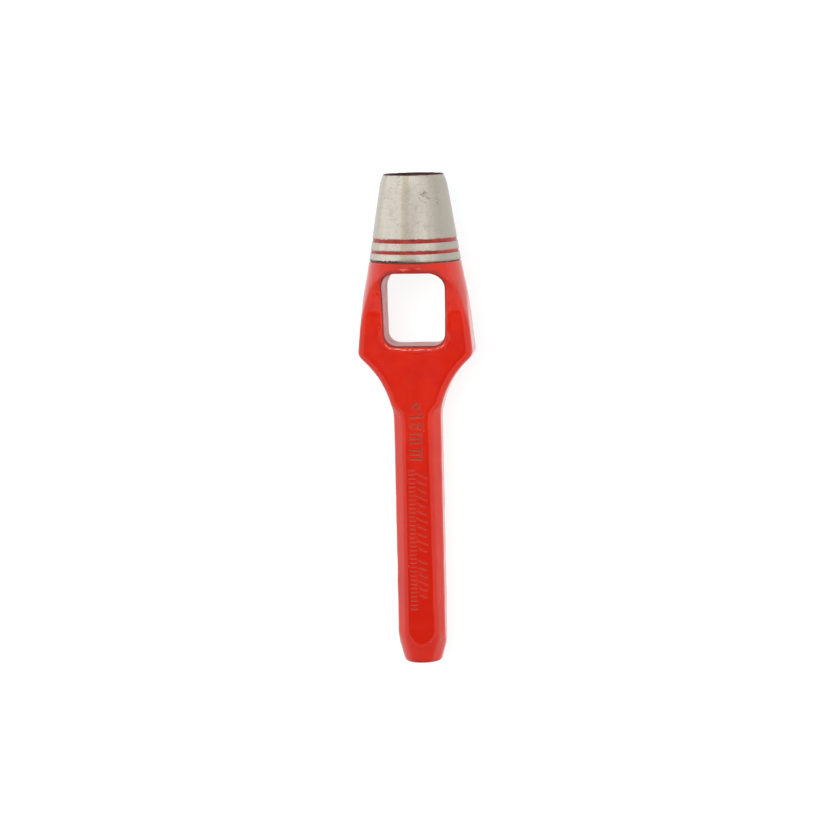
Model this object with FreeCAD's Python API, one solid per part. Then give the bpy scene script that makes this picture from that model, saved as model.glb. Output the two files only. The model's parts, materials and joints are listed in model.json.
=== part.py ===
"""Drive hole punch of the handled arch type, 18 mm, for leather, felt and gasket sheet.

A turned tubular cutter is brazed into the round collar of a forged handle. Below the collar the handle
splits into two bars round a window, where the punched discs come out, and joins again in a chamfered
square shank that ends in a turned, domed end for the mallet.

The punch lies on its side as it is laid down on a bench: the collar and the end of the shank touch the
surface at z = 0, so the tool's axis rises towards the cutter, which points to +Y. Each piece is made on
the tool's own axis, with s measured in millimetres from the cutting edge back towards the mallet end,
and one placement then lays all of them down. The origin is under the middle of the tool, on the surface.
"""
import FreeCAD
import Part

import math
import os

V = FreeCAD.Vector

# --- Driving dimensions, in millimetres and degrees ---------------------------------------------------
LENGTH = 150.0            # cutting edge to mallet end

# Cutter
CUT_R = 9.0               # bore at the cutting edge: the punch makes an 18 mm hole
EDGE_LAND = 0.10          # flat left on the cutting edge
BEVEL_LENGTH = 3.7        # rounded bevel behind the edge
CONE_DEG = 9.15           # half angle of the ground cone
SEAM_S = 26.1             # end of the cone, where the collar begins
SEAM_R = 13.95            # cone's radius there
LAND_LENGTH = 6.0         # straight stretch of the bore behind the edge
RELIEF_R = 9.6            # wider bore behind it, which lets the discs slide through
RELIEF_S = 12.0           # where the bore reaches that radius
GROOVES = {"upper": (19.9, 1.15), "lower": (23.3, 0.95)}  # middle and width
GROOVE_DEPTH = 0.5
ENAMEL_DEPTH = 0.3        # enamel left standing in each groove
SEAM_CHAMFER = 0.25       # breaks the cone's back edge

# Brazed joint between cutter and collar
SPIGOT_R = 11.9
SPIGOT_LENGTH = 1.8
BRAZE_GAP = 0.15

# Collar
COLLAR_S = SEAM_S + BRAZE_GAP
COLLAR_END_S = 28.4
COLLAR_R = 14.0           # at its front rim
FLARE = 0.19              # growth of its radius per millimetre towards the window
COLLAR_CHAMFER = 0.2

# Yoke, seen from the front: half widths
YOKE_TOP = 15.03          # bar's outer side at the collar's end
YOKE_SLOPE = 0.1          # growth of that per millimetre
YOKE_WIDEST_S = 53.6      # outer corner
CORNER_R = 2.6
FUNNEL_DEG = 45.5         # flank below the corner, from the tool's axis
FUNNEL_R = 27.0           # concave sweep towards the shank
NECK_DEG = 12.0           # slope where that sweep ends
NECK_R = 19.4             # tighter sweep into the shank
EDGE_CHAMFER = 1.2

# Window
WINDOW_S = (29.5, 51.9)
WINDOW_HALF = (9.7, 9.15)  # half widths at those two ends
WINDOW_CORNER = (4.8, 3.6)  # corner radii at those two ends

# Shank
SHANK_HALF = 7.25         # half the square's side, and half the yoke's thickness
SHANK_BEVEL = ((69.4, 7.25), (72.6, 4.1), (75.5, 3.7), (LENGTH + 1.0, 4.05))
#                         run-in of the wide chamfers: s, and half the front flat left between them
RAMP_S = 41.8             # the yoke thickens from here towards the collar
RAMP_DEG = 11.0
ROOT_R = 7.5              # concave root between that slope and the collar
ROOT_DEG = 76.0           # slope where the root meets the collar
END_R = 5.6               # turned end: radius at the mallet face, before its rounding
END_DEG = 15.4
END_ROUND = 1.1

# Stamped marks on the front of the shank: across from the middle, and s along it
STROKE = 0.5
STAMP_DEPTH = 0.25
RING = (0.0, 70.1, 1.05)              # across, s, outer radius
DIGIT_LOW, DIGIT_HIGH = -1.9, 2.1     # foot and head of the figures
ONE_S, EIGHT_S = 73.5, 76.2
UNIT_HIGH = 1.3                       # head of the letters of the unit
UNIT_S = (78.6, 83.6)                 # first leg of each letter
UNIT_LEG = 1.4                        # from leg to leg
FINE = 0.35
LEANING_ROWS = ((1.2, 91.5, 2.3, 11, 1.5), (1.1, 118.2, 2.1, 6, 1.2))
#                         across, first s, pitch, count and reach of the leaning strokes
TICK_ROW = (-1.75, 89.8, 1.3, 34, 0.8)  # the same for the ticks beside them

FAR = 40.0                # reach of cutting tools past the work


# --- Helpers ------------------------------------------------------------------------------------------
def point(radius, s, z=0.0):
    """A point on the tool's own axes: x across, s back from the cutting edge, z up."""
    return V(radius, -s, z)


def line(a, b):
    return Part.LineSegment(a, b).toShape()


def arc(a, middle, b):
    return Part.Arc(a, middle, b).toShape()


def chain(points):
    """Straight edges through the points."""
    return [line(a, b) for a, b in zip(points, points[1:])]


def turned(edges):
    """Closes the edges into a face and turns it about the tool's axis."""
    face = Part.Face(Part.Wire(edges))
    return face.revolve(V(0, 0, 0), V(0, 1, 0), 360)


def turned_points(points):
    return turned(chain(points + points[:1]))


def sweep_arc(start, heading_deg, turn_deg, radius):
    """Arc in the plan view that leaves start with the given heading and turns by turn_deg.

    A heading is the angle from the tool's axis, positive towards wider, and s grows along the arc."""
    side = 1.0 if turn_deg > 0 else -1.0

    def along(share):
        heading = math.radians(heading_deg + turn_deg * share)
        begin = math.radians(heading_deg)
        width = start[0] + side * radius * (math.cos(begin) - math.cos(heading))
        s = start[1] + side * radius * (math.sin(heading) - math.sin(begin))
        return width, s

    return along(0.5), along(1.0)


def mirrored(edges):
    """The edges and their mirror images across the tool's middle plane."""
    flipped = [edge.mirror(V(0, 0, 0), V(1, 0, 0)) for edge in edges]
    return edges + flipped


def cone_radius(s):
    return SEAM_R - (SEAM_S - s) * math.tan(math.radians(CONE_DEG))


# --- Cutter -------------------------------------------------------------------------------------------
def groove_walls(s, width):
    """The four corners of a turned groove round s, from its front edge to its back edge."""
    front, back = s - width / 2, s + width / 2
    return [
        (cone_radius(front), front),
        (cone_radius(front) - GROOVE_DEPTH, front),
        (cone_radius(back) - GROOVE_DEPTH, back),
        (cone_radius(back), back),
    ]


def cutting_head():
    edge_r = CUT_R + EDGE_LAND
    bevel_end = (cone_radius(BEVEL_LENGTH), BEVEL_LENGTH)
    mean = math.atan2(bevel_end[0] - edge_r, BEVEL_LENGTH)
    bevel_turn = 2 * (mean - math.radians(CONE_DEG))
    chord = math.hypot(bevel_end[0] - edge_r, BEVEL_LENGTH)
    bulge = chord / 2 * math.tan(bevel_turn / 4)
    bevel_middle = (
        (edge_r + bevel_end[0]) / 2 + bulge * math.cos(mean),
        BEVEL_LENGTH / 2 - bulge * math.sin(mean),
    )
    outside = [bevel_end]
    for s, width in GROOVES.values():
        outside += groove_walls(s, width)
    outside += [
        (cone_radius(SEAM_S - SEAM_CHAMFER), SEAM_S - SEAM_CHAMFER),
        (SEAM_R - SEAM_CHAMFER, SEAM_S),
        (SPIGOT_R, SEAM_S),
        (SPIGOT_R, SEAM_S + SPIGOT_LENGTH),
        (RELIEF_R, SEAM_S + SPIGOT_LENGTH),
        (RELIEF_R, RELIEF_S),
        (CUT_R, LAND_LENGTH),
        (CUT_R, 0.0),
        (edge_r, 0.0),
    ]
    edges = chain([point(*p) for p in outside])
    bevel = arc(point(edge_r, 0.0), point(*bevel_middle), point(*bevel_end))
    return turned(edges + [bevel])


def groove_enamel(s, width):
    """Ring of enamel on the floor of a groove."""
    (_, front), (floor_front, _), (floor_back, back), _ = groove_walls(s, width)
    return turned_points([
        point(floor_front, front),
        point(floor_front + ENAMEL_DEPTH, front),
        point(floor_back + ENAMEL_DEPTH, back),
        point(floor_back, back),
    ])


def braze_joint():
    """Braze between the cutter's shoulder and spigot and the collar's rim and socket."""
    rim = SEAM_R - SEAM_CHAMFER
    floor = SEAM_S + SPIGOT_LENGTH
    return turned_points([
        point(rim, SEAM_S),
        point(SPIGOT_R, SEAM_S),
        point(SPIGOT_R, floor),
        point(RELIEF_R, floor),
        point(RELIEF_R, floor + BRAZE_GAP),
        point(SPIGOT_R + BRAZE_GAP, floor + BRAZE_GAP),
        point(SPIGOT_R + BRAZE_GAP, COLLAR_S),
        point(rim, COLLAR_S),
    ])


# --- Handle -------------------------------------------------------------------------------------------
def plan_outline():
    """Right half of the yoke and shank from the front, as edges from the collar to the mallet end."""
    top_s = COLLAR_S + 1.0
    side_deg = math.degrees(math.atan(YOKE_SLOPE))

    def side(s):
        return YOKE_TOP + YOKE_SLOPE * (s - COLLAR_END_S)

    top = (side(top_s), top_s)
    corner = (side(YOKE_WIDEST_S), YOKE_WIDEST_S)
    corner_middle, corner_end = sweep_arc(corner, side_deg, -side_deg - FUNNEL_DEG, CORNER_R)

    sweep_middle, sweep_end = sweep_arc((0.0, 0.0), -FUNNEL_DEG, FUNNEL_DEG - NECK_DEG, FUNNEL_R)
    neck_middle, neck_end = sweep_arc((0.0, 0.0), -NECK_DEG, NECK_DEG, NECK_R)
    straight = corner_end[0] - SHANK_HALF + sweep_end[0] + neck_end[0]
    flank = (corner_end[0] - straight,
             corner_end[1] + straight / math.tan(math.radians(FUNNEL_DEG)))

    def after(origin, step):
        return origin[0] + step[0], origin[1] + step[1]

    sweep = [flank, after(flank, sweep_middle), after(flank, sweep_end)]
    neck = [sweep[2], after(sweep[2], neck_middle), after(sweep[2], neck_end)]
    return [
        line(point(0.0, top_s), point(*top)),
        line(point(*top), point(*corner)),
        arc(point(*corner), point(*corner_middle), point(*corner_end)),
        line(point(*corner_end), point(*flank)),
        arc(*[point(*p) for p in sweep]),
        arc(*[point(*p) for p in neck]),
        line(point(*neck[2]), point(SHANK_HALF, LENGTH)),
        line(point(SHANK_HALF, LENGTH), point(0.0, LENGTH)),
    ]


def side_outline():
    """Yoke and shank from the side: half the thickness against s, closed along the axis."""
    root_turn = ROOT_DEG - RAMP_DEG
    middle, end = sweep_arc((0.0, 0.0), -ROOT_DEG, root_turn, ROOT_R)
    rise = COLLAR_R + end[0] - SHANK_HALF
    root_s = RAMP_S - rise / math.tan(math.radians(RAMP_DEG))
    start_s = root_s - end[1]

    def side(s, half):
        return point(0.0, s, half)

    start = side(start_s, COLLAR_R)
    foot = side(root_s, COLLAR_R + end[0])
    return [
        line(side(COLLAR_S + 1.0, 0.0), side(COLLAR_S + 1.0, COLLAR_R)),
        line(side(COLLAR_S + 1.0, COLLAR_R), start),
        arc(start, side(start_s + middle[1], COLLAR_R + middle[0]), foot),
        line(foot, side(RAMP_S, SHANK_HALF)),
        line(side(RAMP_S, SHANK_HALF), side(LENGTH, SHANK_HALF)),
        line(side(LENGTH, SHANK_HALF), side(LENGTH, 0.0)),
    ]


def both_ways(face, direction):
    """A prism of the face that reaches FAR on each side of it."""
    prism = face.extrude(direction * 2 * FAR)
    prism.translate(direction * -FAR)
    return prism


def plate():
    """Yoke and shank with the same outline at every depth, before their edges are broken."""
    front = Part.Face(Part.Wire(Part.__sortEdges__(mirrored(plan_outline()))))
    halves = side_outline()
    under = [edge.mirror(V(0, 0, 0), V(0, 0, 1)) for edge in halves]
    side = Part.Face(Part.Wire(Part.__sortEdges__(halves + under)))
    return both_ways(front, V(0, 0, 1)).common(both_ways(side, V(1, 0, 0)))


def long_edges(solid):
    """Edges where the front and back faces meet the outline, from the collar to the mallet end."""
    found = []
    for edge in solid.Edges:
        first, last = (edge.valueAt(t) for t in edge.ParameterRange)
        middle = edge.valueAt(sum(edge.ParameterRange) / 2)
        high = all(abs(p.z) > SHANK_HALF - 0.01 for p in (first, middle, last))
        wide = all(abs(p.x) > SHANK_HALF - 0.01 for p in (first, middle, last))
        if high and wide:
            found.append(edge)
    return found


def bevel_cutters():
    """Four wedges that widen the chamfers along the shank, each with a sloping run-in."""
    wedges = []
    for x_side in (-1, 1):
        for z_side in (-1, 1):
            sections = []
            for s, flat in SHANK_BEVEL:
                far = SHANK_HALF + 4.0
                near = flat + SHANK_HALF - far
                corners = [(near, far), (far, far), (far, near), (near, far)]
                sections.append(Part.makePolygon(
                    [point(x_side * x, s, z_side * z) for x, z in corners]))
            wedges.append(Part.makeLoft(sections, True, True))
    return wedges


def window_prism():
    """The window's rounded opening, as a prism right through the yoke."""
    (top, bottom), (top_half, bottom_half) = WINDOW_S, WINDOW_HALF
    corners = [point(-top_half, top), point(top_half, top),
               point(bottom_half, bottom), point(-bottom_half, bottom)]
    prism = both_ways(Part.Face(Part.makePolygon(corners + corners[:1])), V(0, 0, 1))
    uprights = [e for e in prism.Edges if abs(e.tangentAt(e.FirstParameter).z) > 0.9]
    middle_y = -(top + bottom) / 2
    upper = [e for e in uprights if e.CenterOfMass.y > middle_y]
    lower = [e for e in uprights if e.CenterOfMass.y < middle_y]
    return prism.makeFillet(WINDOW_CORNER[0], upper).makeFillet(WINDOW_CORNER[1], lower)


def collar():
    """Round seat of the cutter, with its socket still filled."""
    end_r = COLLAR_R + FLARE * (COLLAR_END_S - COLLAR_S)
    return turned_points([
        point(0.0, COLLAR_S),
        point(COLLAR_R - COLLAR_CHAMFER, COLLAR_S),
        point(COLLAR_R + FLARE * COLLAR_CHAMFER, COLLAR_S + COLLAR_CHAMFER),
        point(end_r, COLLAR_END_S),
        point(0.0, COLLAR_END_S),
    ])


def flare_trimmer():
    """Cone that carries the collar's flare on, and rounds the bars' corners off near it."""
    near_s, far_s = COLLAR_S - 1.0, LENGTH + 1.0
    return turned_points([
        point(0.0, near_s),
        point(COLLAR_R + FLARE * (near_s - COLLAR_S), near_s),
        point(COLLAR_R + FLARE * (far_s - COLLAR_S), far_s),
        point(0.0, far_s),
    ])


def end_trimmer():
    """Turned end of the shank: a blunt cone with a rounded rim."""
    slope = math.radians(END_DEG)
    near_s = LENGTH - 12.0
    turn = math.pi / 2 - slope
    centre_r = END_R - END_ROUND * math.tan(turn / 2)
    centre_s = LENGTH - END_ROUND

    def rim(angle):
        return point(centre_r + END_ROUND * math.cos(angle), centre_s + END_ROUND * math.sin(angle))

    begin = rim(slope)
    wide = -begin.y - near_s
    outer = point(begin.x + wide * math.tan(slope), near_s)
    return turned([
        line(point(0.0, COLLAR_S), point(FAR, COLLAR_S)),
        line(point(FAR, COLLAR_S), point(FAR, near_s)),
        line(point(FAR, near_s), outer),
        line(outer, begin),
        arc(begin, rim((slope + math.pi / 2) / 2), rim(math.pi / 2)),
        line(rim(math.pi / 2), point(0.0, LENGTH)),
        line(point(0.0, LENGTH), point(0.0, COLLAR_S)),
    ])


def socket():
    """Counterbore for the cutter's spigot and the way through for the discs."""
    deep = SEAM_S + SPIGOT_LENGTH + BRAZE_GAP
    return turned_points([
        point(0.0, COLLAR_S - 1.0),
        point(SPIGOT_R + BRAZE_GAP, COLLAR_S - 1.0),
        point(SPIGOT_R + BRAZE_GAP, deep),
        point(RELIEF_R, deep),
        point(RELIEF_R, WINDOW_S[0] + 2.0),
        point(0.0, WINDOW_S[0] + 2.0),
    ])


def ring_stroke(across, s, outer_r):
    """A stamped ring seen from the front, centred at across and s."""
    base = point(across, s, SHANK_HALF - STAMP_DEPTH)
    ring = Part.makeCylinder(outer_r, FAR, base, V(0, 0, 1))
    return ring.cut(Part.makeCylinder(outer_r - STROKE, FAR, base, V(0, 0, 1)))


def bar_stroke(start, end, width=STROKE):
    """A stamped straight stroke between two (across, s) points, square at its ends."""
    length = math.dist(start, end)
    bar = Part.makeBox(length, width, FAR, V(0, -width / 2, 0))
    bar.rotate(V(0, 0, 0), V(0, 0, 1), math.degrees(math.atan2(start[1] - end[1], end[0] - start[0])))
    bar.translate(point(*start, SHANK_HALF - STAMP_DEPTH))
    return bar


def stamped_bars():
    """Ends and widths of the straight strokes: figure one, the unit's letters and plain rows."""
    bars = [((DIGIT_LOW, ONE_S), (DIGIT_HIGH, ONE_S), STROKE),
            ((DIGIT_HIGH - 0.2, ONE_S - 0.3), (DIGIT_HIGH - 1.2, ONE_S - 1.2), STROKE)]
    for first in UNIT_S:
        for leg in range(3):
            s = first + leg * UNIT_LEG
            bars.append(((DIGIT_LOW, s), (UNIT_HIGH, s), STROKE))
        bars.append(((UNIT_HIGH, first - STROKE / 2),
                     (UNIT_HIGH, first + 2 * UNIT_LEG + STROKE / 2), STROKE))
    for across, first, pitch, count, longest in LEANING_ROWS:
        for i in range(count):
            s = first + i * pitch
            reach = longest if i % 3 == 0 else longest * 0.7
            bars.append(((across - reach, s - 0.45 * reach), (across + reach, s + 0.45 * reach), FINE))
    across, first, pitch, count, reach = TICK_ROW
    for i in range(count):
        s = first + i * pitch
        bars.append(((across - reach, s), (across + reach, s), FINE))
    return bars


def stamps():
    """The size number with its unit, read along the shank, a ring before it and plain strokes after."""
    tools = [ring_stroke(*RING)]
    loop = (DIGIT_HIGH - DIGIT_LOW + STROKE) / 4
    middle = (DIGIT_HIGH + DIGIT_LOW) / 2
    for side in (-1, 1):
        tools.append(ring_stroke(middle + side * (loop - STROKE / 2), EIGHT_S, loop))
    tools += [bar_stroke(*bar) for bar in stamped_bars()]
    return tools


def forged_handle():
    body = plate()
    body = body.makeChamfer(EDGE_CHAMFER, long_edges(body))
    body = body.cut(bevel_cutters())
    body = body.common(flare_trimmer()).fuse(collar()).common(end_trimmer())
    body = body.cut([window_prism(), socket()])
    body = body.cut(stamps())
    return body.removeSplitter()


# --- Assembly -----------------------------------------------------------------------------------------
def laid_down(pieces):
    """Turns and moves all pieces together, so that the collar and the shank's end rest on z = 0."""
    whole = Part.makeCompound(list(pieces.values()))
    collar_r = COLLAR_R + FLARE * (COLLAR_END_S - COLLAR_S)
    end_s = LENGTH - (SHANK_HALF - END_R) / math.tan(math.radians(END_DEG))
    tilt = math.degrees(math.atan2(collar_r - SHANK_HALF, end_s - COLLAR_END_S))
    whole.rotate(V(0, 0, 0), V(1, 0, 0), tilt)
    box = whole.optimalBoundingBox(False, False)
    move = V(0, -(box.YMin + box.YMax) / 2, -box.ZMin)
    placement = FreeCAD.Placement(move, FreeCAD.Rotation(V(1, 0, 0), tilt))
    print(f"tilt {tilt:.3f} degrees, axis point of the cutting edge {placement.multVec(V(0, 0, 0))}")
    for shape in pieces.values():
        shape.Placement = placement.multiply(shape.Placement)
    return pieces


def main():
    os.makedirs("parts", exist_ok=True)
    pieces = {
        "cutting_head": cutting_head(),
        "forged_handle": forged_handle(),
        "braze_joint": braze_joint(),
    }
    for name, (s, width) in GROOVES.items():
        pieces[f"{name}_groove_enamel"] = groove_enamel(s, width)
    for name, shape in laid_down(pieces).items():
        box = shape.optimalBoundingBox(False, False)
        print(f"{name}: {len(shape.Solids)} solid, valid {shape.isValid()}, volume {shape.Volume:.1f} mm3, "
              f"box {box.XLength:.2f} x {box.YLength:.2f} x {box.ZLength:.2f}, lowest {box.ZMin:.3f}")
        shape.exportStep(f"parts/{name}.step")


main()
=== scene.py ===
"""Drive hole punch, 18 mm, lying on a white surface: Blender pieces, materials, light and camera.

Pieces are made in the tool's own frame, in metres: x across, y along the axis towards the cutting
edge (s is minus y, measured back from that edge), z up out of the front face. One matrix, read
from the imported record, lays them down where the CAD nodes are.
"""

import json
import math

import bmesh
import bpy
import numpy as np
from mathutils import Matrix, Vector, noise


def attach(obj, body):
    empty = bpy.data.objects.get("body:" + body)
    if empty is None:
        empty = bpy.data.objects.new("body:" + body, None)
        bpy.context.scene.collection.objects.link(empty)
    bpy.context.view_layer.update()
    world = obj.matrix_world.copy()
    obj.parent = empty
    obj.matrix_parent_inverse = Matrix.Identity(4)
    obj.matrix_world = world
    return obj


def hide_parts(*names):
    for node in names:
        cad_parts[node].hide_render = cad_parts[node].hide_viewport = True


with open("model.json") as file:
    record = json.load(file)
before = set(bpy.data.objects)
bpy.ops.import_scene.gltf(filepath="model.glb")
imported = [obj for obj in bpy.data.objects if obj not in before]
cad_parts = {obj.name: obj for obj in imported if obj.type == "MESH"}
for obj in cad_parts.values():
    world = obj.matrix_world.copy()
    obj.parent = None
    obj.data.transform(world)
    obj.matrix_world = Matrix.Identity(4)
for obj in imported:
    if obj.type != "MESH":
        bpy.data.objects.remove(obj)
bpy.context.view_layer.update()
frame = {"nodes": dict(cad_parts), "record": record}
scene = bpy.context.scene
MM = 0.001
LATHE_STEPS = 360
NOSE_STEPS, NOSE_SWELL = 12, 0.14    # the rounded bevel behind the edge, swelling in millimetres

# --- Sizes in millimetres, as in the CAD ---------------------------------------------------------------
CUT_R, EDGE_LAND = 9.0, 0.10
BEVEL_LENGTH = 3.7
CONE_DEG = 9.15
SEAM_S, SEAM_R = 26.1, 13.95
LAND_LENGTH, RELIEF_R, RELIEF_S = 6.0, 9.6, 12.0
GROOVES = {"upper": (19.9, 1.15), "lower": (23.3, 0.95)}
GROOVE_DEPTH, ENAMEL_DEPTH = 0.5, 0.3
SPIGOT_R, SPIGOT_LENGTH, BRAZE_GAP = 11.9, 1.8, 0.15
WINDOW_S = (29.5, 51.9)
WINDOW_HALF = (9.7, 9.15)
WINDOW_CORNER = (4.8, 3.6)
SHANK_HALF = 7.25

# --- Finish of the enamelled forging -------------------------------------------------------------------
SOFTEN_STEPS, SOFTEN_WINDOW_STEPS = 13, 6      # the first six soften the window's edge too
BEAD_HEIGHT = 0.27                             # millimetres of extra enamel round the window

# --- Stamped marks on the front of the shank, which read "18 mm" along it ------------------------------
STAMP_AREA = (68.6, 133.8)                      # s of the first and the last mark
STROKE, FINE, STAMP_DEPTH = 0.5, 0.35, 0.20     # widths of the strokes and of the fine marks
RING = (0.0, 70.1, 1.05)                        # place across, s, outer radius
DIGIT_LOW, DIGIT_HIGH = -1.9, 2.1               # feet and heads of the digits, across the shank
ONE_S, EIGHT_S = 73.5, 76.2
UNIT_HIGH, UNIT_S, UNIT_LEG = 1.3, (78.6, 83.6), 1.4
LEANING_ROWS = ((1.2, 91.5, 2.3, 11, 1.5),      # place across, first s, pitch, count, half length
                (1.1, 118.2, 2.1, 6, 1.2))
TICK_ROW = (-1.75, 89.8, 1.3, 34, 0.8)          # the same

# --- Camera, in degrees, metres and millimetres of focal length ----------------------------------------
CAMERA_LEAN = (6.2, 3.2)       # from straight above, towards +X and towards the head
CAMERA_TARGET = (-0.001049, 0.001125, 0.012)
CAMERA_DISTANCE = 1.0
CAMERA_LENS = 141.8
CAMERA_ROLL = -0.870


# --- The tool's own frame ------------------------------------------------------------------------------
def tool_matrix():
    """Matrix from the tool's own frame to the row frame, from the bore mount in the record."""
    mounts = {m["name"]: m for m in frame["record"]["mounts"]}
    bore = mounts["punch_bore"]
    along = Vector(bore["axis"]).normalized()
    edge = Vector(bore["pos_m"]) + along * (bore["dims"]["length_mm"] / 2 * MM)
    tilt = math.atan2(along.z, along.y)
    return Matrix.Translation(edge) @ Matrix.Rotation(tilt, 4, "X")


TOOL = tool_matrix()


# --- Mesh helpers --------------------------------------------------------------------------------------
def piece(name, mesh, node, material):
    """Makes an object of a mesh in the tool's frame, in place of a CAD node."""
    mesh.transform(TOOL)
    obj = bpy.data.objects.new(name, mesh)
    scene.collection.objects.link(obj)
    mesh.materials.clear()
    mesh.materials.append(material)
    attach(obj, "root")
    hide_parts(node)
    return obj


def lathe(name, profile, wobble, sharp=35.0):
    """Closed solid of revolution about the tool's axis from (radius, s) points in millimetres.

    wobble(angle, radius, s) gives a small change of radius and s, in millimetres."""
    count, steps = len(profile), LATHE_STEPS
    verts = []
    for i in range(steps):
        angle = 2 * math.pi * i / steps
        for radius, s in profile:
            dr, ds = wobble(angle, radius, s)
            r = (radius + dr) * MM
            verts.append((r * math.sin(angle), -(s + ds) * MM, r * math.cos(angle)))
    faces = []
    for i in range(steps):
        here, there = i * count, (i + 1) % steps * count
        for j in range(count):
            k = (j + 1) % count
            faces.append((here + j, here + k, there + k, there + j))
    mesh = bpy.data.meshes.new(name)
    mesh.from_pydata(verts, [], faces)
    mesh.validate()
    shade(mesh, sharp)
    return mesh


def shade(mesh, sharp):
    """Outward normals, smooth faces, and sharp edges above the given angle."""
    bm = bmesh.new()
    bm.from_mesh(mesh)
    bmesh.ops.recalc_face_normals(bm, faces=bm.faces)
    limit = math.radians(sharp)
    for edge in bm.edges:
        edge.smooth = not (edge.is_manifold and edge.calc_face_angle(0.0) > limit)
    for face in bm.faces:
        face.smooth = True
    bm.to_mesh(mesh)
    bm.free()


def refine(points, longest):
    """Adds points on long stretches of a closed profile."""
    result = []
    for i, a in enumerate(points):
        b = points[(i + 1) % len(points)]
        pieces = max(1, math.ceil(math.dist(a, b) / longest))
        for k in range(pieces):
            t = k / pieces
            result.append((a[0] + (b[0] - a[0]) * t, a[1] + (b[1] - a[1]) * t))
    return result


# --- Node helpers --------------------------------------------------------------------------------------
class Nodes:
    """Short ways to add nodes to one material.

    Its mm (a vector), x, y, z and s are places in the tool's own frame, in millimetres."""

    def __init__(self, name):
        self.material = bpy.data.materials.new(name)
        self.material.use_nodes = True
        self.tree = self.material.node_tree
        self.tree.nodes.clear()
        self.out = self.tree.nodes.new("ShaderNodeOutputMaterial")
        self.shader = self.tree.nodes.new("ShaderNodeBsdfPrincipled")
        self.tree.links.new(self.shader.outputs[0], self.out.inputs["Surface"])
        coords = self.tree.nodes.new("ShaderNodeTexCoord")
        own = self.tree.nodes.new("ShaderNodeMapping")
        own.vector_type = "TEXTURE"
        own.inputs["Location"].default_value = TOOL.translation
        own.inputs["Rotation"].default_value = TOOL.to_euler()
        own.inputs["Scale"].default_value = (MM, MM, MM)
        self.tree.links.new(coords.outputs["Object"], own.inputs["Vector"])
        self.mm = own.outputs[0]
        split = self.tree.nodes.new("ShaderNodeSeparateXYZ")
        self.tree.links.new(self.mm, split.inputs[0])
        self.x, self.y, self.z = split.outputs
        self.s = self.math("MULTIPLY", self.y, -1.0)

    def put(self, socket, value):
        """Links a node's output to the socket, or sets the socket to a constant."""
        if isinstance(value, bpy.types.NodeSocket):
            self.tree.links.new(value, socket)
        else:
            socket.default_value = value

    def math(self, operation, a, b=0.0, c=0.0, clamp=False):
        node = self.tree.nodes.new("ShaderNodeMath")
        node.operation = operation
        node.use_clamp = clamp
        for socket, value in zip(node.inputs, (a, b, c)):
            self.put(socket, value)
        return node.outputs[0]

    def times(self, *values):
        """Product of all the values."""
        product = values[0]
        for value in values[1:]:
            product = self.math("MULTIPLY", product, value)
        return product

    def step(self, value, low, high, to_low=0.0, to_high=1.0):
        """Smooth change from to_low to to_high as value goes from low to high."""
        node = self.tree.nodes.new("ShaderNodeMapRange")
        node.interpolation_type = "SMOOTHSTEP"
        turned = low > high
        first, last = (high, low) if turned else (low, high)
        a, b = (to_high, to_low) if turned else (to_low, to_high)
        for key, number in (("From Min", first), ("From Max", last), ("To Min", a), ("To Max", b)):
            node.inputs[key].default_value = number
        self.put(node.inputs["Value"], value)
        return node.outputs[0]

    def vector(self, x, y, z):
        node = self.tree.nodes.new("ShaderNodeCombineXYZ")
        for socket, value in zip(node.inputs, (x, y, z)):
            self.put(socket, value)
        return node.outputs[0]

    def noise(self, size, detail=3.0, rough=0.55, where=None):
        """Noise from 0 to 1 with features of about the given size in millimetres."""
        node = self.tree.nodes.new("ShaderNodeTexNoise")
        node.inputs["Scale"].default_value = 1.0 / size
        node.inputs["Detail"].default_value = detail
        node.inputs["Roughness"].default_value = rough
        self.put(node.inputs["Vector"], where or self.mm)
        return node.outputs["Fac"]

    def cells(self, size):
        """Distance from the nearest of many points scattered about size millimetres apart, in sizes."""
        node = self.tree.nodes.new("ShaderNodeTexVoronoi")
        node.inputs["Scale"].default_value = 1.0 / size
        self.put(node.inputs["Vector"], self.mm)
        return node.outputs["Distance"]

    def mix(self, share, a, b):
        """Colour a where the share is 0, colour b where it is 1."""
        node = self.tree.nodes.new("ShaderNodeMix")
        node.data_type = "RGBA"
        node.clamp_factor = True
        self.put(node.inputs[0], share)
        self.put(node.inputs[6], a)
        self.put(node.inputs[7], b)
        return node.outputs[2]

    def bump(self, height, distance, onto=None):
        """Bump from a height of 0 to 1 that stands for distance in millimetres."""
        node = self.tree.nodes.new("ShaderNodeBump")
        node.inputs["Strength"].default_value = 1.0
        node.inputs["Distance"].default_value = distance * MM
        self.put(node.inputs["Height"], height)
        if onto is not None:
            self.put(node.inputs["Normal"], onto)
        return node.outputs[0]

    def finish(self, **values):
        """Sets the shader's inputs, named with _ for a space, and gives the material."""
        for key, value in values.items():
            self.put(self.shader.inputs[key.replace("_", " ")], value)
        return self.material


def rgb(r, g, b):
    """Linear colour from 0-255 display values."""
    def linear(c):
        c /= 255
        return c / 12.92 if c <= 0.04045 else ((c + 0.055) / 1.055) ** 2.4
    return (linear(r), linear(g), linear(b), 1.0)


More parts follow.
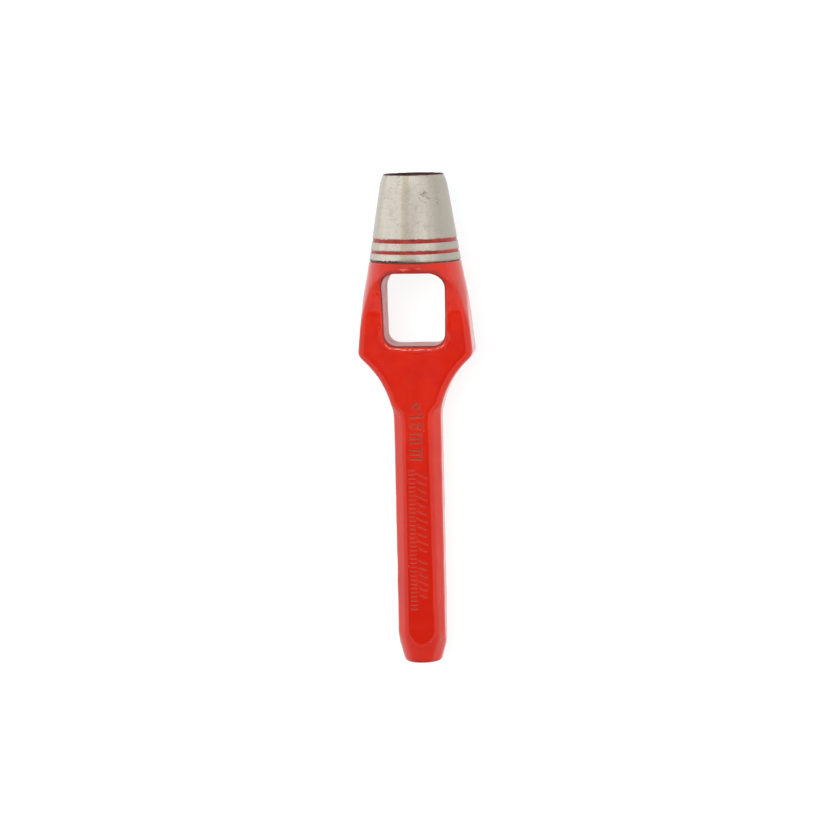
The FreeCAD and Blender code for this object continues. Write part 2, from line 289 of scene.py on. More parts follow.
# --- Materials -----------------------------------------------------------------------------------------
def window_nodes(n):
    """Nodes for the distance from the window's outline in millimetres, positive on the metal."""
    top, bottom = WINDOW_S
    down = n.math("SUBTRACT", n.s, top)
    down = n.math("DIVIDE", down, bottom - top, clamp=True)
    half = n.math("MULTIPLY_ADD", down, WINDOW_HALF[1] - WINDOW_HALF[0], WINDOW_HALF[0])
    corner = n.math("MULTIPLY_ADD", down, WINDOW_CORNER[1] - WINDOW_CORNER[0], WINDOW_CORNER[0])
    dx = n.math("ADD", n.math("SUBTRACT", n.math("ABSOLUTE", n.x), half), corner)
    dy = n.math("ABSOLUTE", n.math("SUBTRACT", n.s, (top + bottom) / 2))
    dy = n.math("ADD", n.math("SUBTRACT", dy, (bottom - top) / 2), corner)
    wide, high = n.math("MAXIMUM", dx, 0.0), n.math("MAXIMUM", dy, 0.0)
    outside = n.math("SQRT", n.math("ADD", n.times(wide, wide), n.times(high, high)))
    inside = n.math("MINIMUM", n.math("MAXIMUM", dx, dy), 0.0)
    return n.math("SUBTRACT", n.math("ADD", outside, inside), corner)


def stamp_wear(n):
    """Share of wear in the stamped strokes, found by their depth below the front flat."""
    deep = n.step(n.z, SHANK_HALF - 0.04, SHANK_HALF - 0.13)
    across = n.step(n.math("ABSOLUTE", n.x), 3.1, 2.8)
    first = n.step(n.s, STAMP_AREA[0] - 0.6, STAMP_AREA[0])
    last = n.step(n.s, STAMP_AREA[1] + 0.6, STAMP_AREA[1])
    upper = n.step(n.z, 5.0, 5.5)
    patchy = n.step(n.noise(1.1, 3.0), 0.34, 0.58, 0.6, 0.9)
    return n.times(deep, across, first, last, upper, patchy, n.step(n.s, 89.5, 88.5, 0.5, 1.0))


def window_painted_light(n, away, base):
    """Enamel colour round the window: painted shade at its outline, along its top edge, in a band above it
    and in the middle of the collar, a painted highlight on the ridge below it and painted highlight lines
    drawn along the collar.
    """
    front = n.step(n.z, 4.6, 5.2)
    side = n.math("ABSOLUTE", n.x)
    metal = n.step(away, -0.15, 0.05)
    # Painted shade: a broken dark line along the window's outline on the front.
    outline = n.times(metal, n.step(away, 0.6, 0.25), front, n.step(n.noise(2.0), 0.3, 0.5, 0.45, 0.85))
    base = n.mix(outline, base, rgb(122, 22, 18))
    # Painted shade along the window's top edge.
    painted_crease_shade = n.times(n.step(away, 1.6, 0.7), n.step(n.s, 34.0, 30.5), metal, front, 0.55)
    base = n.mix(painted_crease_shade, base, rgb(128, 20, 16))
    # Painted shade in a band just above the window.
    above = n.times(n.step(n.s, 28.3, 29.0), n.step(n.s, 31.0, 30.0), n.step(side, 10.0, 6.5), front, 0.6)
    base = n.mix(above, base, rgb(132, 20, 16))
    # Painted shade in the middle of the collar, next to the window's top.
    painted_crown_shade = n.times(n.step(side, 8.0, 1.0), n.step(n.s, 30.0, 28.6), 0.55)
    base = n.mix(painted_crown_shade, base, rgb(150, 30, 22))

    # Painted highlight: a broken light line along the ridge below the window.
    wander = n.math("MULTIPLY_ADD", n.noise(3.2, 3.0, 0.5), 2.2, -0.05)
    ridge = n.step(n.math("ABSOLUTE", n.math("SUBTRACT", away, wander)), 0.22, 0.07)
    broken = n.step(n.noise(1.3, 3.0), 0.38, 0.56, 0.15, 0.85)
    base = n.mix(n.times(ridge, n.step(n.s, 50.6, 52.4), front, broken), base, rgb(240, 150, 132))
    # Painted highlight lines drawn along the collar.
    drawn_out = n.vector(n.times(n.x, 0.3), n.times(n.s, 1.5), 4.0)
    painted_streak_highlight = n.step(n.noise(1.0, 3.0, 0.6, where=drawn_out), 0.56, 0.62)
    collar = n.times(n.step(n.s, 27.6, 28.1), n.step(n.s, 29.5, 29.0), n.step(side, 4.5, 2.5))
    return n.mix(n.times(painted_streak_highlight, collar, 0.45), base, rgb(236, 128, 112))


def enamel_material():
    """Thick glossy red enamel over a forging, worn thin in the stamped lines."""
    n = Nodes("red_enamel")
    away = window_nodes(n)
    base = n.mix(n.step(n.noise(9.0, 2.0), 0.35, 0.7), rgb(194, 29, 9), rgb(186, 22, 8))
    base = n.mix(n.step(n.noise(0.7, 4.0), 0.45, 0.8, 0.0, 0.3), base, rgb(203, 42, 20))
    # Painted shade: the shank's front flat darker from s 78 on, most from s 92.
    flat = n.times(n.step(n.z, 6.5, 6.9), n.step(n.s, 78.0, 92.0, 0.0, 0.7))
    base = n.mix(flat, base, rgb(182, 25, 10))
    worn = stamp_wear(n)
    base = n.mix(worn, base, rgb(128, 48, 26))
    base = window_painted_light(n, away, base)
    # Painted shade on the rounding of the struck end.
    painted_end_shade = n.step(n.s, 148.7, 149.6, 0.0, 0.75)
    base = n.mix(painted_end_shade, base, rgb(112, 18, 12))

    pinholes = n.times(n.step(n.cells(0.9), 0.2, 0.1), n.step(n.noise(3.0, 2.0), 0.48, 0.62), 0.35)
    base = n.mix(pinholes, base, rgb(150, 24, 14))
    patches = n.step(n.noise(7.0, 1.0, where=n.vector(n.y, n.x, n.z)), 0.52, 0.6)
    dust = n.times(n.step(n.cells(2.6), 0.085, 0.05), patches, 0.5)
    base = n.mix(dust, base, rgb(226, 120, 104))

    gloss = n.step(n.noise(3.0, 3.0), 0.3, 0.8, 0.10, 0.2)
    gloss = n.math("ADD", gloss, n.times(worn, 0.12))
    gloss = n.math("ADD", gloss, n.step(away, 0.4, 0.12, 0.0, 0.2))
    unworn = n.math("MULTIPLY_ADD", worn, -1.0, 1.0)
    sheen = n.times(n.step(away, 0.12, 0.4, 0.55, 1.0), unworn, n.step(n.s, 140.5, 143.5, 1.0, 0.4))
    peel = n.bump(n.noise(1.5, 2.0, 0.4), 0.014)
    fine = n.bump(n.noise(0.4, 2.0, 0.5), 0.0035, onto=peel)
    return n.finish(Base_Color=base, Roughness=gloss, IOR=1.5, Specular_Tint=(1.0, 0.88, 0.76, 1.0),
                    Specular_IOR_Level=n.math("MULTIPLY_ADD", sheen, 0.10, 0.40),
                    Coat_Weight=n.times(sheen, 0.15), Coat_Roughness=0.06, Normal=fine)


def steel_scratches(n, angle):
    """Share of short leaning scratches, most of them where the cutter was knocked."""
    knock = n.math("ADD", n.math("POWER", n.math("SUBTRACT", n.x, 4.4), 2.0),
                   n.math("POWER", n.math("SUBTRACT", n.s, 6.6), 2.0))
    knock = n.times(n.step(knock, 6.0, 1.5), n.step(n.z, 2.0, 4.0))
    often = n.math("MAXIMUM", n.step(n.noise(4.5, 1.0), 0.5, 0.62), knock)
    lean = n.vector(n.math("MULTIPLY_ADD", angle, 4.2, n.times(n.s, 0.55)),
                    n.math("MULTIPLY_ADD", angle, -18.0, n.times(n.s, 2.4)), 1.7)
    loose = n.math("ADD", n.noise(1.0, 2.0, 0.6, where=lean), n.times(knock, 0.13))
    return n.times(n.step(loose, 0.66, 0.72), often)


def steel_bands_and_painted_light(n, angle, base):
    """Steel colour in soft bands along the cone, with a painted highlight left of the middle, a painted
    warm reflection strip, painted shade at the sides and the plain steel colour on the underside.
    """
    along = n.noise(1.0, 4.0, 0.6, where=n.vector(n.times(angle, 7.0), n.times(n.s, 0.06), 5.0))
    broad = n.noise(1.0, 2.0, 0.5, where=n.vector(n.times(angle, 0.5), n.s, 3.0))
    base = n.mix(n.step(along, 0.36, 0.66, 0.0, 0.8), base, rgb(212, 203, 187))
    base = n.mix(n.step(broad, 0.35, 0.7, 0.0, 0.5), base, rgb(224, 217, 203))
    # Painted highlight, painted reflection and painted shade, set by the angle round the cone.
    sway = n.math("MULTIPLY_ADD", n.noise(6.0, 3.0), 0.16, n.math("SUBTRACT", angle, 0.08))
    painted_highlight = n.times(n.step(sway, -0.62, -0.42), n.step(sway, -0.18, -0.28), 0.5)
    base = n.mix(painted_highlight, base, rgb(238, 233, 222))
    # Painted reflection: a warm strip just left of the middle.
    strip = n.step(n.math("ABSOLUTE", n.math("ADD", sway, 0.14)), 0.17, 0.03)
    base = n.mix(n.times(strip, 0.55), base, rgb(206, 190, 164))
    # Painted shade: darker towards the right side and towards the left side.
    base = n.mix(n.step(sway, 0.3, 0.95, 0.0, 0.85), base, rgb(168, 162, 152))
    base = n.mix(n.step(sway, -0.7, -1.0, 0.0, 0.6), base, rgb(176, 170, 158))
    # Plain steel colour on the underside, where the painted shade of both sides meets.
    underside = n.step(n.math("ABSOLUTE", angle), 2.0, 2.8)
    return n.mix(underside, base, rgb(206, 200, 190))


def steel_dirt(n, speck, scratch, base):
    """Steel colour with cloudy patches, pits, scratches, red films ahead of the grooves and seam grime."""
    base = n.mix(n.step(n.noise(2.4, 4.0, 0.65), 0.5, 0.75, 0.0, 0.55), base, rgb(186, 177, 166))
    base = n.mix(n.step(speck, 0.5, 0.74, 0.0, 0.65), base, rgb(158, 147, 134))
    pits = n.times(n.step(n.cells(1.5), 0.13, 0.07), n.step(n.noise(5.0, 2.0), 0.5, 0.62), 0.55)
    base = n.mix(pits, base, rgb(112, 96, 84))
    base = n.mix(n.times(scratch, 0.7), base, rgb(118, 104, 94))
    for middle, width in GROOVES.values():
        ahead = n.math("SUBTRACT", middle - width / 2, n.s)
        film = n.times(n.step(ahead, -0.1, 0.0), n.step(ahead, 0.42, 0.12),
                       n.step(n.noise(1.8, 3.0), 0.38, 0.55, 0.25, 0.9))
        base = n.mix(film, base, rgb(214, 96, 82))
    ragged = n.math("ADD", n.s, n.times(n.noise(0.9, 4.0, 0.7), 1.3))
    grime = n.times(n.step(ragged, 26.2, 26.35), n.step(n.x, 1.0, -5.0, 0.25, 1.0))
    return n.mix(grime, base, rgb(84, 62, 54))


def steel_material():
    """Turned and ground tool steel with fine rings, handling scratches, a dark cutting rim and painted
    highlight and shade in bands along the cone.
    """
    n = Nodes("ground_steel")
    angle = n.math("ARCTAN2", n.x, n.z)
    rings = n.noise(1.0, 4.0, 0.65, where=n.vector(n.times(angle, 1.6), n.times(n.s, 9.0), 0.0))
    speck = n.noise(0.45, 5.0, 0.7)
    scratch = steel_scratches(n, angle)
    base = n.mix(n.step(rings, 0.3, 0.72), rgb(206, 200, 190), rgb(243, 239, 230))
    base = steel_bands_and_painted_light(n, angle, base)
    base = steel_dirt(n, speck, scratch, base)

    radius = n.math("SQRT", n.math("ADD", n.times(n.x, n.x), n.times(n.z, n.z)))
    outside = n.math("MULTIPLY_ADD", n.s, 0.12, CUT_R + 0.05)
    bore = n.step(n.math("SUBTRACT", radius, outside), 0.01, -0.01)
    base = n.mix(bore, base, rgb(84, 56, 54))
    edge = n.math("ADD", n.s, n.times(n.noise(1.3, 3.0), 0.3))
    rim = n.step(edge, 0.52, 0.34)
    base = n.mix(n.times(rim, 0.9), base, rgb(104, 68, 66))

    rough = n.math("ADD", n.step(rings, 0.2, 0.8, 0.30, 0.40), n.step(speck, 0.4, 0.8, 0.0, 0.12))
    rough = n.math("ADD", rough, n.times(rim, 0.12))
    cut = n.bump(rings, 0.014)
    cut = n.bump(speck, 0.004, onto=cut)
    cut = n.bump(n.math("SUBTRACT", 1.0, scratch), 0.01, onto=cut)
    return n.finish(Base_Color=base, Metallic=1.0, Roughness=rough, Normal=cut)


def groove_material():
    """Red enamel wiped into the turned grooves, thin and dirty in places."""
    n = Nodes("groove_enamel")
    patch = n.noise(2.2, 4.0, 0.6)
    base = n.mix(n.step(patch, 0.4, 0.66), rgb(146, 30, 22), rgb(118, 27, 22))
    base = n.mix(n.step(n.noise(0.6, 3.0), 0.5, 0.75, 0.0, 0.4), base, rgb(180, 60, 52))
    rough = n.step(patch, 0.3, 0.7, 0.22, 0.45)
    return n.finish(Base_Color=base, Roughness=rough, IOR=1.5, Normal=n.bump(patch, 0.05))


def braze_material():
    """Dull brownish line of braze and grime between cutter and collar."""
    n = Nodes("braze")
    patch = n.noise(1.6, 4.0, 0.65)
    base = n.mix(n.step(patch, 0.38, 0.62), rgb(120, 86, 74), rgb(168, 146, 132))
    rough = n.step(patch, 0.3, 0.7, 0.35, 0.6)
    return n.finish(Base_Color=base, Metallic=0.7, Roughness=rough, Normal=n.bump(patch, 0.06))


def floor_material():
    """White acrylic table top with some light from below."""
    n = Nodes("white_table")
    cloud = n.noise(120.0, 2.0)
    base = n.mix(n.step(cloud, 0.3, 0.7), (0.165, 0.172, 0.176, 1.0), (0.18, 0.187, 0.191, 1.0))
    return n.finish(Base_Color=base, Roughness=0.75, Specular_IOR_Level=0.15,
                    Emission_Color=(0.975, 0.985, 0.985, 1.0), Emission_Strength=0.866,
                    Normal=n.bump(n.noise(0.8, 2.0), 0.004))


# --- Cutter --------------------------------------------------------------------------------------------
def cone_radius(s):
    """Radius of the cutter's outside cone at s."""
    return SEAM_R - (SEAM_S - s) * math.tan(math.radians(CONE_DEG))


def soft_noise(x, y, z):
    """Smooth noise of about -1 to 1 at a place given by three numbers."""
    return noise.noise(Vector((x, y, z)))


def cutter_profile():
    """Outside of the cutter from the edge to its shoulder, then the spigot and the bore."""
    edge_r = CUT_R + EDGE_LAND
    end_r = cone_radius(BEVEL_LENGTH)
    points = []
    for k in range(NOSE_STEPS + 1):
        t = k / NOSE_STEPS
        swell = math.sin(math.pi * t) * NOSE_SWELL
        points.append((edge_r + (end_r - edge_r) * t + swell, BEVEL_LENGTH * t))
    for middle, width in GROOVES.values():
        front, back = middle - width / 2, middle + width / 2
        points += [(cone_radius(front - 0.06), front - 0.06),
                   (cone_radius(front) - 0.07, front + 0.02),
                   (cone_radius(front) - GROOVE_DEPTH, front + 0.03),
                   (cone_radius(back) - GROOVE_DEPTH, back - 0.03),
                   (cone_radius(back) - 0.07, back - 0.02),
                   (cone_radius(back + 0.06), back + 0.06)]
    points += [(cone_radius(SEAM_S - 0.3), SEAM_S - 0.3), (SEAM_R - 0.10, SEAM_S - 0.12),
               (SEAM_R - 0.25, SEAM_S), (SPIGOT_R, SEAM_S),
               (SPIGOT_R, SEAM_S + SPIGOT_LENGTH), (RELIEF_R, SEAM_S + SPIGOT_LENGTH),
               (RELIEF_R, RELIEF_S), (CUT_R, LAND_LENGTH), (CUT_R, 0.06), (CUT_R + 0.03, 0.0)]
    return refine(points, 1.2)


def cutter_wobble(angle, radius, s):
    """Tiny nicks in the cutting edge and an uneven hand-ground nose."""
    x, z = math.sin(angle), math.cos(angle)
    change = 0.03 * soft_noise(x * 1.5, s * 0.25, z * 1.5) * min(1.0, s / 3)
    if s > SEAM_S - 0.01 or radius < cone_radius(s) - 0.3:
        change = 0.0
    nick = 0.0
    if s < 0.8:
        bite = max(0.0, soft_noise(x * 5.0, 7.3, z * 5.0) - 0.16)
        nick = bite * 0.22 * (1 - s / 0.8)
        nick += 0.015 * (1 + soft_noise(x * 16, 2.0, z * 16)) * (1 - s / 0.8)
    return change, nick


def ring_profile(middle, width):
    """Enamel in one groove, with its surface drawn down in the middle."""
    front, back = middle - width / 2 + 0.03, middle + width / 2 - 0.03
    floor_front, floor_back = cone_radius(front) - GROOVE_DEPTH, cone_radius(back) - GROOVE_DEPTH
    top = []
    for k in range(7):
        t = k / 6
        sag = 0.10 * math.sin(math.pi * t)
        top.append((floor_front + (floor_back - floor_front) * t + ENAMEL_DEPTH + 0.04 - sag,
                    front + (back - front) * t))
    return [(floor_front, front)] + top + [(floor_back, back)]


def ring_wobble(seed):
    """Uneven level of the enamel in one groove."""
    def wobble(angle, radius, s):
        x, z = math.sin(angle), math.cos(angle)
        level = 0.10 * soft_noise(x * 6, seed, z * 6) + 0.05 * soft_noise(x * 17, seed + 4, z * 17)
        high = radius > cone_radius(s) - GROOVE_DEPTH + 0.05
        return (level if high else 0.0), 0.0
    return wobble


def braze_profile():
    """Ring and thin sleeve of braze that fill the gap between the cutter and its socket."""
    rim = SEAM_R - 0.25
    floor = SEAM_S + SPIGOT_LENGTH
    return refine([(rim + 0.02, SEAM_S + 0.01), (SPIGOT_R, SEAM_S), (SPIGOT_R, floor),
                   (RELIEF_R, floor), (RELIEF_R, floor + BRAZE_GAP),
                   (SPIGOT_R + BRAZE_GAP, floor + BRAZE_GAP),
                   (SPIGOT_R + BRAZE_GAP, SEAM_S + BRAZE_GAP),
                   (rim + 0.02, SEAM_S + BRAZE_GAP - 0.01), (rim + 0.06, SEAM_S + 0.05)], 0.9)


def braze_wobble(angle, radius, s):
    """Ragged outer rim, with the rest of the braze left plain."""
    if radius < SEAM_R - 0.5:
        return 0.0, 0.0
    x, z = math.sin(angle), math.cos(angle)
    return 0.09 * soft_noise(x * 9, 1.0, z * 9) + 0.05 * soft_noise(x * 30, 5.0, z * 30), 0.0


# --- Handle --------------------------------------------------------------------------------------------
def window_distance(x, s):
    """Distance from the window's outline in millimetres, positive on the metal."""
    top, bottom = WINDOW_S
    share = np.clip((s - top) / (bottom - top), 0, 1)
    half = WINDOW_HALF[0] + (WINDOW_HALF[1] - WINDOW_HALF[0]) * share
    corner = np.where(s < (top + bottom) / 2, WINDOW_CORNER[0], WINDOW_CORNER[1])
    dx = np.abs(x) - half + corner
    dy = np.abs(s - (top + bottom) / 2) - (bottom - top) / 2 + corner
    outside = np.hypot(np.maximum(dx, 0), np.maximum(dy, 0))
    return outside + np.minimum(np.maximum(dx, dy), 0) - corner


def neighbours(mesh):
    """The two ends of each edge, and the number of edges at each vertex."""
    ends = np.empty(len(mesh.edges) * 2, np.int64)
    mesh.edges.foreach_get("vertices", ends)
    ends = ends.reshape(-1, 2)
    degree = np.bincount(ends.ravel(), minlength=len(mesh.vertices)).astype(float)
    return ends, degree


def relax(co, ends, degree, share):
    """One smoothing step: each point moves by its share towards the mean of its neighbours."""
    total = np.zeros_like(co)
    for axis in range(3):
        total[:, axis] += np.bincount(ends[:, 0], co[ends[:, 1], axis], len(co))
        total[:, axis] += np.bincount(ends[:, 1], co[ends[:, 0], axis], len(co))
    return co + (total / degree[:, None] - co) * share[:, None]


def coordinates(mesh):
    """The mesh's vertices as rows of x, y and z."""
    co = np.empty(len(mesh.vertices) * 3)
    mesh.vertices.foreach_get("co", co)
    return co.reshape(-1, 3)


def field(co, size, seed):
    """Smooth noise of about -1 to 1 at each point, with features of the given size in millimetres."""
    rng = np.random.default_rng(seed)
    value = np.zeros(len(co))
    for _ in range(14):
        direction = rng.normal(size=3)
        direction /= np.linalg.norm(direction)
        wave = 2 * math.pi / (size * rng.uniform(0.75, 1.6))
        value += np.sin(co @ direction * wave + rng.uniform(0, 2 * math.pi))
    return value / math.sqrt(14 / 2) / 1.6


def stroke_distance(x, s):
    """Distance outside the nearest stamped stroke in millimetres, negative inside one."""
    best = np.full(len(x), 9.0)

    def bar(start, end, half):
        nonlocal best
        run, rise = end[0] - start[0], end[1] - start[1]
        share = np.clip(((x - start[0]) * run + (s - start[1]) * rise) / (run * run + rise * rise), 0, 1)
        best = np.minimum(best, np.hypot(x - start[0] - share * run, s - start[1] - share * rise) - half)

    def ring(across, centre, outer):
        nonlocal best
        middle = outer - STROKE / 2
        best = np.minimum(best, np.abs(np.hypot(x - across, s - centre) - middle) - STROKE / 2)

    ring(*RING)
    loop = (DIGIT_HIGH - DIGIT_LOW + STROKE) / 4
    middle = (DIGIT_HIGH + DIGIT_LOW) / 2
    for side in (-1, 1):
        ring(middle + side * (loop - STROKE / 2), EIGHT_S, loop)
    wide, fine = STROKE / 2, FINE / 2
    bar((DIGIT_LOW, ONE_S), (DIGIT_HIGH, ONE_S), wide)
    bar((DIGIT_HIGH - 0.2, ONE_S - 0.3), (DIGIT_HIGH - 1.2, ONE_S - 1.2), wide)
    for first in UNIT_S:
        for leg in range(3):
            bar((DIGIT_LOW, first + leg * UNIT_LEG), (UNIT_HIGH, first + leg * UNIT_LEG), wide)
        bar((UNIT_HIGH, first), (UNIT_HIGH, first + 2 * UNIT_LEG), wide)
    for across, first, pitch, count, longest in LEANING_ROWS:
        for i in range(count):
            reach, s0 = (longest if i % 3 == 0 else longest * 0.7), first + i * pitch
            bar((across - reach, s0 - 0.45 * reach), (across + reach, s0 + 0.45 * reach), fine)
    across, first, pitch, count, reach = TICK_ROW
    for i in range(count):
        s0 = first + i * pitch
        bar((across - reach, s0), (across + reach, s0), fine)
    return best


def divide_stamp_area(mesh):
    """Splits the faces under the stamped marks, so that the strokes come out crisp."""
    bm = bmesh.new()
    bm.from_mesh(mesh)
    edges = set()
    for face in bm.faces:
        centre = face.calc_center_median() / MM
        on_flat = abs(centre.x) < 3.3 and centre.z > SHANK_HALF - 0.35
        if on_flat and STAMP_AREA[0] < -centre.y < STAMP_AREA[1]:
            edges.update(face.edges)
    bmesh.ops.subdivide_edges(bm, edges=list(edges), cuts=2, use_grid_fill=True)
    bmesh.ops.triangulate(bm, faces=[f for f in bm.faces if len(f.verts) > 4])
    bm.to_mesh(mesh)
    bm.free()


def remeshed_forging():
    """The CAD handle in the tool's frame, as an even mesh that is fine enough to soften."""
    source = frame["nodes"]["forged_handle"]
    work = bpy.data.objects.new("handle_work", source.data.copy())
    scene.collection.objects.link(work)
    work.data.transform(TOOL.inverted())
    remesh = work.modifiers.new("remesh", "REMESH")
    remesh.mode = "VOXEL"
    remesh.voxel_size = 0.39 * MM
    mesh = bpy.data.meshes.new_from_object(work.evaluated_get(bpy.context.evaluated_depsgraph_get()))
    bpy.data.objects.remove(work)
    mesh.name = "handle_body"
    return mesh


def set_coordinates(mesh, co):
    """Moves the mesh's vertices to the given places in millimetres."""
    mesh.vertices.foreach_set("co", (co * MM).ravel())
    mesh.update()


def in_socket(co):
    """True for points of the collar's socket, which stay where the cutter needs them."""
    return (np.hypot(co[:, 0], co[:, 2]) < SPIGOT_R + 0.4) & (-co[:, 1] < WINDOW_S[0] - 0.8)


def widen_front_flat(co):
    """Moves the long edges of the shank's front flat outwards, as softening brings them in."""
    raised = np.clip((co[:, 2] - 4.5) / 2.0, 0, 1) * np.clip((-co[:, 1] - 70.0) / 6.0, 0, 1)
    co[:, 0] += raised * np.clip(co[:, 0] / 2.5, -0.35, 1.0) * (0.5 - 0.005 * (co[:, 1] + 80.0))


def soften(mesh):
    """Rounds the forging's edges, less in the socket, at the rim and, after a while, at the window."""
    co = coordinates(mesh) / MM
    widen_front_flat(co)
    co[front_flat(co, 0.7), 2] = SHANK_HALF
    ends, degree = neighbours(mesh)
    x, s, z = co[:, 0], -co[:, 1], co[:, 2]
    socket = in_socket(co)
    rim = (s < SEAM_S + 0.9) & (np.hypot(x, z) > SPIGOT_R)
    near_window = np.clip((window_distance(x, s) - 0.8) / 1.2, 0.0, 1.0)
    for step in range(SOFTEN_STEPS):
        share = np.full(len(co), 0.5)
        share[socket] = 0.05
        share[rim] = 0.12
        if step >= SOFTEN_WINDOW_STEPS:
            share *= near_window
        co = relax(co, ends, degree, share)
    set_coordinates(mesh, co)


def coat(mesh):
    """Gives the enamel its slight waves, the bead round the window and the stamped marks."""
    co = coordinates(mesh) / MM
    normal = surface_normals(mesh)
    x, s, z = co[:, 0], -co[:, 1], co[:, 2]
    free = np.where(in_socket(co), 0.0, 1.0) * np.clip((s - SEAM_S) / 2.5, 0.0, 1.0)
    waves = 0.035 * field(co, 9.0, 3) + 0.012 * field(co, 3.2, 4)
    away = window_distance(x, s)
    on_front = np.clip((np.abs(z) - (SHANK_HALF - 1.0)) / 0.5, 0, 1)
    lower = np.clip((s - 45.0) / 5.0, 0.3, 1.0)
    ragged = np.clip(0.9 + 0.8 * field(co, 2.2, 5), 0.1, 1.7)
    bead = np.exp(-((away - 1.0 - 0.25 * field(co, 4.0, 6)) / 0.45) ** 2) * on_front * lower * ragged
    ditch = np.exp(-((away - 2.1) / 0.5) ** 2) * on_front * lower
    lift = waves + BEAD_HEIGHT * bead - 0.06 * ditch
    co = co + normal * (lift * free)[:, None]
    sunk = np.clip((0.07 - stroke_distance(x, s)) / 0.14, 0.0, 1.0) * front_flat(co, 0.5)
    co[:, 2] -= STAMP_DEPTH * sunk * np.clip(0.95 + 0.15 * field(co, 1.7, 8), 0.7, 1.15)
    set_coordinates(mesh, co)


def handle_mesh():
    """The forging under its enamel: soft edges, slight waves, stamped marks, a bead round the window."""
    mesh = remeshed_forging()
    soften(mesh)
    divide_stamp_area(mesh)
    coat(mesh)
    mesh.polygons.foreach_set("use_smooth", [True] * len(mesh.polygons))
    return mesh


def front_flat(co, reach):
    """True for points of the front flat under the stamped marks."""
    s = -co[:, 1]
    inside = (s > STAMP_AREA[0] - 1.0) & (s < STAMP_AREA[1] + 1.0) & (np.abs(co[:, 0]) < 3.5)
    return inside & (co[:, 2] > SHANK_HALF - reach)


def surface_normals(mesh):
    """The mesh's vertex normals as rows of x, y and z."""
    mesh.update()
    normal = np.empty(len(mesh.vertices) * 3)
    mesh.vertex_normals.foreach_get("vector", normal)
    return normal.reshape(-1, 3)


# --- Floor, light and camera ---------------------------------------------------------------------------
FLOOR_SIZE = 24.0
SOFT_WHITE, WARM_WHITE = (1.0, 0.995, 0.985), (1.0, 0.98, 0.96)
LIGHTS = {"overhead": ((-0.28, 0.22, 1.25), (0.85, 0.85), 14.3, SOFT_WHITE),
          "right": ((1.0, -0.1, 0.35), (0.6, 0.5), 5.0, WARM_WHITE),
          "left": ((-1.0, 0.0, 0.4), (0.6, 0.5), 1.4, WARM_WHITE)}    # place, size, watts, colour
MIRRORED, DIFFUSE = 0.95, 0.45     # the studio's strength as seen in reflections, and as light


def make_floor():
    """White table that reaches past the horizon of a low view."""
    bpy.ops.mesh.primitive_plane_add(size=FLOOR_SIZE, location=(0, 0, 0))
    floor = bpy.context.object
    floor.name = "table_top"
    floor.data.materials.append(floor_material())


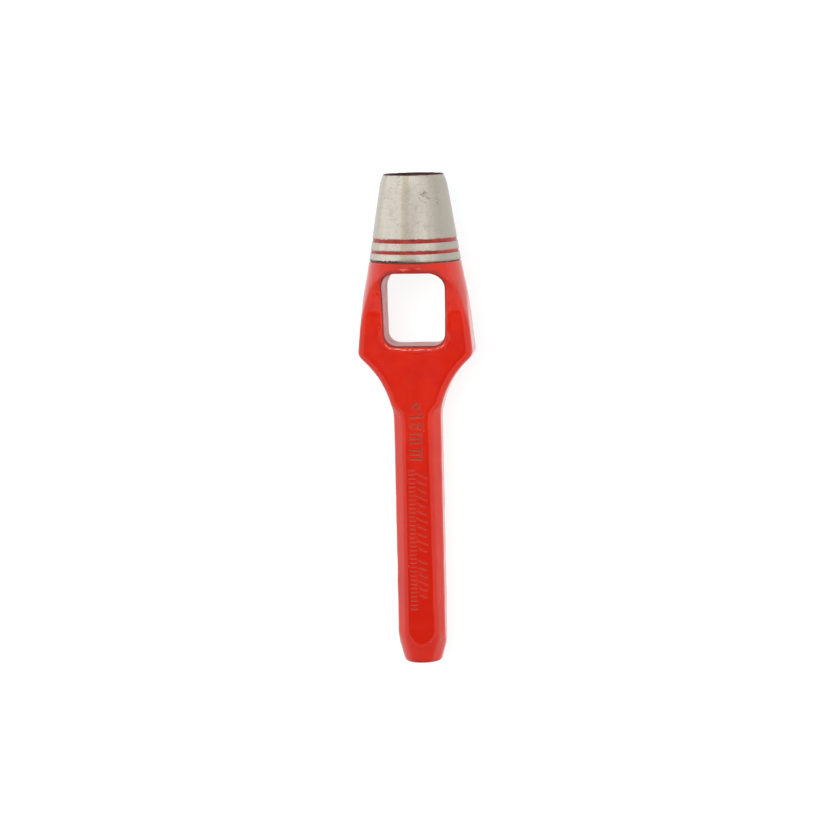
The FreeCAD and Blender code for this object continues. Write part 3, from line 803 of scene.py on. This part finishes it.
def make_world():
    """Bright white studio all round, darker overhead where the camera stands."""
    world = bpy.data.worlds.new("studio")
    scene.world = world
    world.use_nodes = True
    tree = world.node_tree
    tree.nodes.clear()
    out = tree.nodes.new("ShaderNodeOutputWorld")
    back = tree.nodes.new("ShaderNodeBackground")
    coords = tree.nodes.new("ShaderNodeTexCoord")

    def maths(operation, a, b=0.0):
        node = tree.nodes.new("ShaderNodeMath")
        node.operation = operation
        for socket, value in zip(node.inputs, (a, b)):
            if isinstance(value, bpy.types.NodeSocket):
                tree.links.new(value, socket)
            else:
                socket.default_value = value
        return node.outputs[0]

    def lobe(direction, inner, outer):
        """1 within inner degrees of the direction, 0 beyond outer degrees."""
        dot = tree.nodes.new("ShaderNodeVectorMath")
        dot.operation = "DOT_PRODUCT"
        tree.links.new(coords.outputs["Generated"], dot.inputs[0])
        dot.inputs[1].default_value = Vector(direction).normalized()
        ramp = tree.nodes.new("ShaderNodeMapRange")
        ramp.interpolation_type = "SMOOTHSTEP"
        ramp.inputs["From Min"].default_value = math.cos(math.radians(outer))
        ramp.inputs["From Max"].default_value = math.cos(math.radians(inner))
        tree.links.new(dot.outputs["Value"], ramp.inputs["Value"])
        return ramp.outputs[0]

    paths = tree.nodes.new("ShaderNodeLightPath")
    # Dark where the camera stands, a weak grey strip on the left, and a dimmer right.
    overhead = maths("MULTIPLY", lobe((-0.11, -0.20, 1.0), 13.0, 20.0), 0.95)
    strip = maths("MULTIPLY", lobe((-0.80, 0.10, 0.75), 3.0, 16.0), 0.18)
    dim = maths("MULTIPLY", lobe((1.0, 0.25, 0.05), 10.0, 60.0), 0.12)
    # A bright light box beyond the cutter, and darker low down at both ends of the tool.
    box = maths("MULTIPLY", lobe((-0.12, 0.68, 0.73), 5.0, 11.0), 0.8)
    ends = maths("MAXIMUM", lobe((0.0, -1.0, 0.12), 25.0, 62.0), lobe((0.0, 1.0, 0.1), 15.0, 45.0))
    level = maths("SUBTRACT", maths("SUBTRACT", 1.0, overhead), strip)
    level = maths("ADD", maths("SUBTRACT", level, dim), box)
    level = maths("SUBTRACT", level, maths("MULTIPLY", ends, 0.5))
    seen = maths("MULTIPLY", level, MIRRORED)
    share = maths("MULTIPLY", paths.outputs["Is Glossy Ray"], maths("SUBTRACT", seen, DIFFUSE))
    tree.links.new(maths("ADD", share, DIFFUSE), back.inputs["Strength"])
    back.inputs["Color"].default_value = (*SOFT_WHITE, 1.0)
    tree.links.new(back.outputs[0], out.inputs["Surface"])


def area_light(name, place, size, power, colour):
    """Rectangular light aimed at the tool, and not seen in reflections."""
    data = bpy.data.lights.new(name, "AREA")
    data.shape = "RECTANGLE"
    data.size, data.size_y = size
    data.energy = power
    data.color = colour
    light = bpy.data.objects.new(name, data)
    scene.collection.objects.link(light)
    light.location = place
    aim = Vector((0.0, 0.0, 0.0)) - Vector(place)
    light.rotation_euler = aim.to_track_quat("-Z", "Y").to_euler()
    light.visible_glossy = False


def make_camera():
    """Looks almost straight down from a metre above, a little from the right and from the head."""
    data = bpy.data.cameras.new("camera")
    data.sensor_width = 36.0
    data.lens = CAMERA_LENS
    data.clip_start, data.clip_end = 0.05, 20.0
    camera = bpy.data.objects.new("camera", data)
    scene.collection.objects.link(camera)
    right, head = (math.radians(a) for a in CAMERA_LEAN)
    back = Vector((math.tan(right), math.tan(head), 1.0)).normalized()
    across = Vector((0.0, 1.0, 0.0)).cross(back).normalized()
    up = back.cross(across)
    basis = Matrix((across, up, back)).transposed().to_4x4()
    place = Vector(CAMERA_TARGET) + back * CAMERA_DISTANCE
    roll = Matrix.Rotation(math.radians(CAMERA_ROLL), 4, "Z")
    camera.matrix_world = Matrix.Translation(place) @ basis @ roll
    scene.camera = camera


def main():
    scene.view_settings.view_transform = "Standard"
    make_floor()
    make_world()
    for name, values in LIGHTS.items():
        area_light(name, *values)
    make_camera()

    steel = steel_material()
    groove_red = groove_material()
    piece("cutter_body", lathe("cutter_body", cutter_profile(), cutter_wobble, sharp=28.0),
          "cutting_head", steel)
    for seed, (name, groove) in enumerate(GROOVES.items()):
        profile = refine(ring_profile(*groove), 0.3)
        mesh = lathe(f"{name}_groove_fill", profile, ring_wobble(seed * 9.0))
        piece(f"{name}_groove_fill", mesh, f"{name}_groove_enamel", groove_red)
    piece("braze_line", lathe("braze_line", braze_profile(), braze_wobble),
          "braze_joint", braze_material())
    piece("handle_body", handle_mesh(), "forged_handle", enamel_material())


main()
